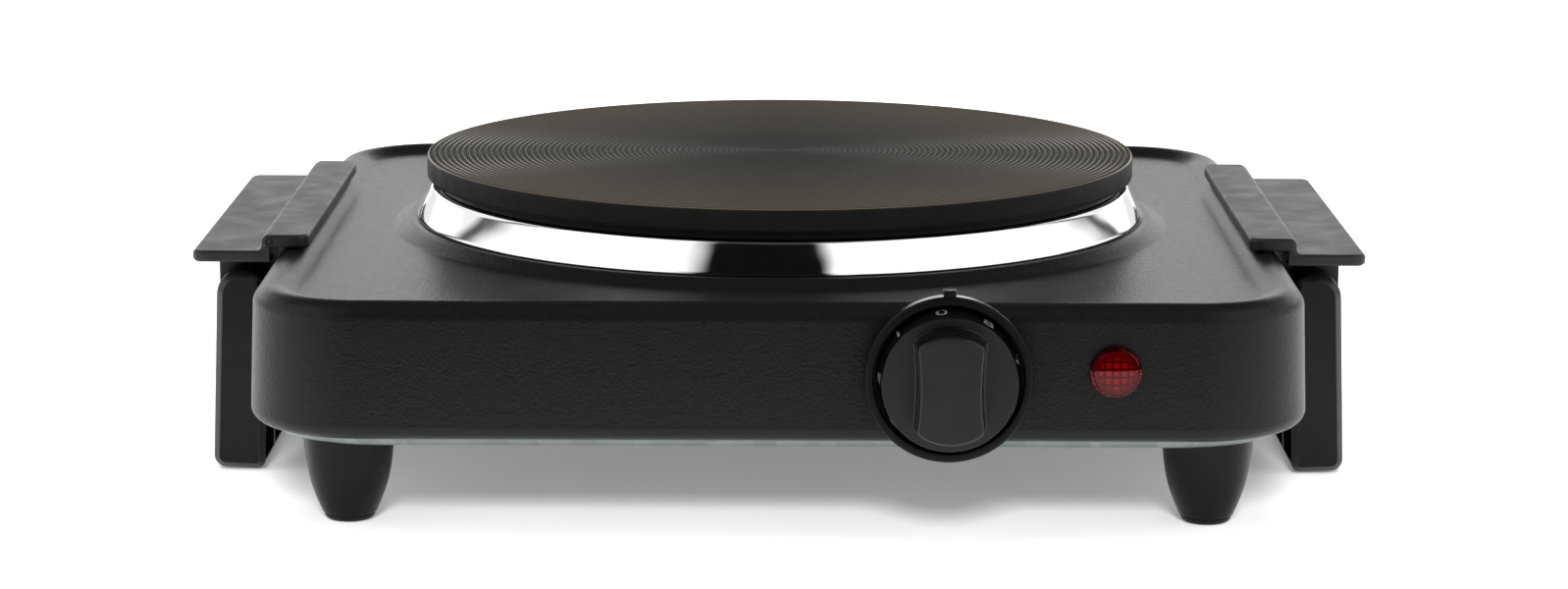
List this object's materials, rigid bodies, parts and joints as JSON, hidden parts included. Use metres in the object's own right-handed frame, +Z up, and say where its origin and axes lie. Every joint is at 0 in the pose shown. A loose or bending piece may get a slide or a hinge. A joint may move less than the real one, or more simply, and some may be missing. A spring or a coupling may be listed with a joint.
{
  "type": "electric hot plate",
  "caption": "Single electric hot plate: cast-iron disc in a polished trim ring on a low sheet-steel body with a front knob, a pilot lamp, tapered feet and swing-out side handles.",
  "frame": {"origin": "centre of the footprint's box, on the surface that the feet stand on", "axes": "+Z up, -Y towards the knob, +X to the right seen from the knob's side"},
  "size_m": [0.2938, 0.2692, 0.0735],
  "materials": {
    "black_powder_coat": "matt black powder coat with a fine orange-peel texture",
    "cast_iron": "turned cast iron with fine concentric grooves, heat-resistant dark coating",
    "polished_steel": "mirror-polished stainless steel",
    "galvanised_steel": "zinc-coated sheet, pale blue-grey",
    "plated_steel": "bright zinc-plated steel",
    "bracket_moulding": "grey-black thermoset moulding, faintly mottled",
    "handle_moulding": "black thermoset moulding, satin",
    "foot_moulding": "black thermoset moulding, satin",
    "knob_moulding": "black moulding, satin face and glossy skirt",
    "rubber": "black rubber",
    "ceramic": "off-white unglazed steatite",
    "resistance_wire": "oxidised resistance wire in its packing",
    "red_lens": "clear red plastic with small square facets",
    "lamp_glass": "clear glass bulb"
  },
  "bodies": {
    "base": {"base_plate": "galvanised_steel", "base_screw_left": "plated_steel", "base_screw_right": "plated_steel", "bracket_left": "bracket_moulding", "bracket_right": "bracket_moulding", "bracket_screw_left_back": "plated_steel", "bracket_screw_left_front": "plated_steel", "bracket_screw_right_back": "plated_steel", "bracket_screw_right_front": "plated_steel", "centre_stud": "plated_steel", "clamp_bridge": "galvanised_steel", "clamp_nut": "plated_steel", "clamp_washer": "plated_steel", "cord_grommet": "rubber", "foot_back_left": "foot_moulding", "foot_back_right": "foot_moulding", "foot_front_left": "foot_moulding", "foot_front_right": "foot_moulding", "foot_nut_back_left": "plated_steel", "foot_nut_back_right": "plated_steel", "foot_nut_front_left": "plated_steel", "foot_nut_front_right": "plated_steel", "foot_pad_back_left": "rubber", "foot_pad_back_right": "rubber", "foot_pad_front_left": "rubber", "foot_pad_front_right": "rubber", "foot_screw_back_left": "plated_steel", "foot_screw_back_right": "plated_steel", "foot_screw_front_left": "plated_steel", "foot_screw_front_right": "plated_steel", "heating_coil_1": "resistance_wire", "heating_coil_2": "resistance_wire", "hinge_pin_left_back": "plated_steel", "hinge_pin_left_front": "plated_steel", "hinge_pin_right_back": "plated_steel", "hinge_pin_right_front": "plated_steel", "hot_plate": "cast_iron", "housing": "black_powder_coat", "knob_bezel": "knob_moulding", "lens_retainer": "plated_steel", "neon_lamp": "lamp_glass", "pilot_lens": "red_lens", "plate_cover": "galvanised_steel", "terminal_block": "ceramic", "thermostat_body": "ceramic", "thermostat_plate": "galvanised_steel", "thermostat_screw_left": "plated_steel", "thermostat_screw_right": "plated_steel", "trim_ring": "polished_steel"},
    "knob": {"knob": "knob_moulding", "thermostat_spindle": "plated_steel"},
    "handle_left": {"handle_left": "handle_moulding"},
    "handle_right": {"handle_right": "handle_moulding"}
  },
  "joints": [
    {"name": "knob_turn", "type": "hinge", "parent": "base", "child": "knob", "pos_m": [0.0398, -0.11995, 0.0406], "axis": [0, 1, 0], "range_deg": [0, 320]},
    {"name": "handle_left_swing", "type": "hinge", "parent": "base", "child": "handle_left", "pos_m": [-0.1347, 0.01255, 0.045], "axis": [0, 1, 0], "range_deg": [0, 97]},
    {"name": "handle_right_swing", "type": "hinge", "parent": "base", "child": "handle_right", "pos_m": [0.1347, 0.01255, 0.045], "axis": [0, -1, 0], "range_deg": [0, 97]}
  ]
}
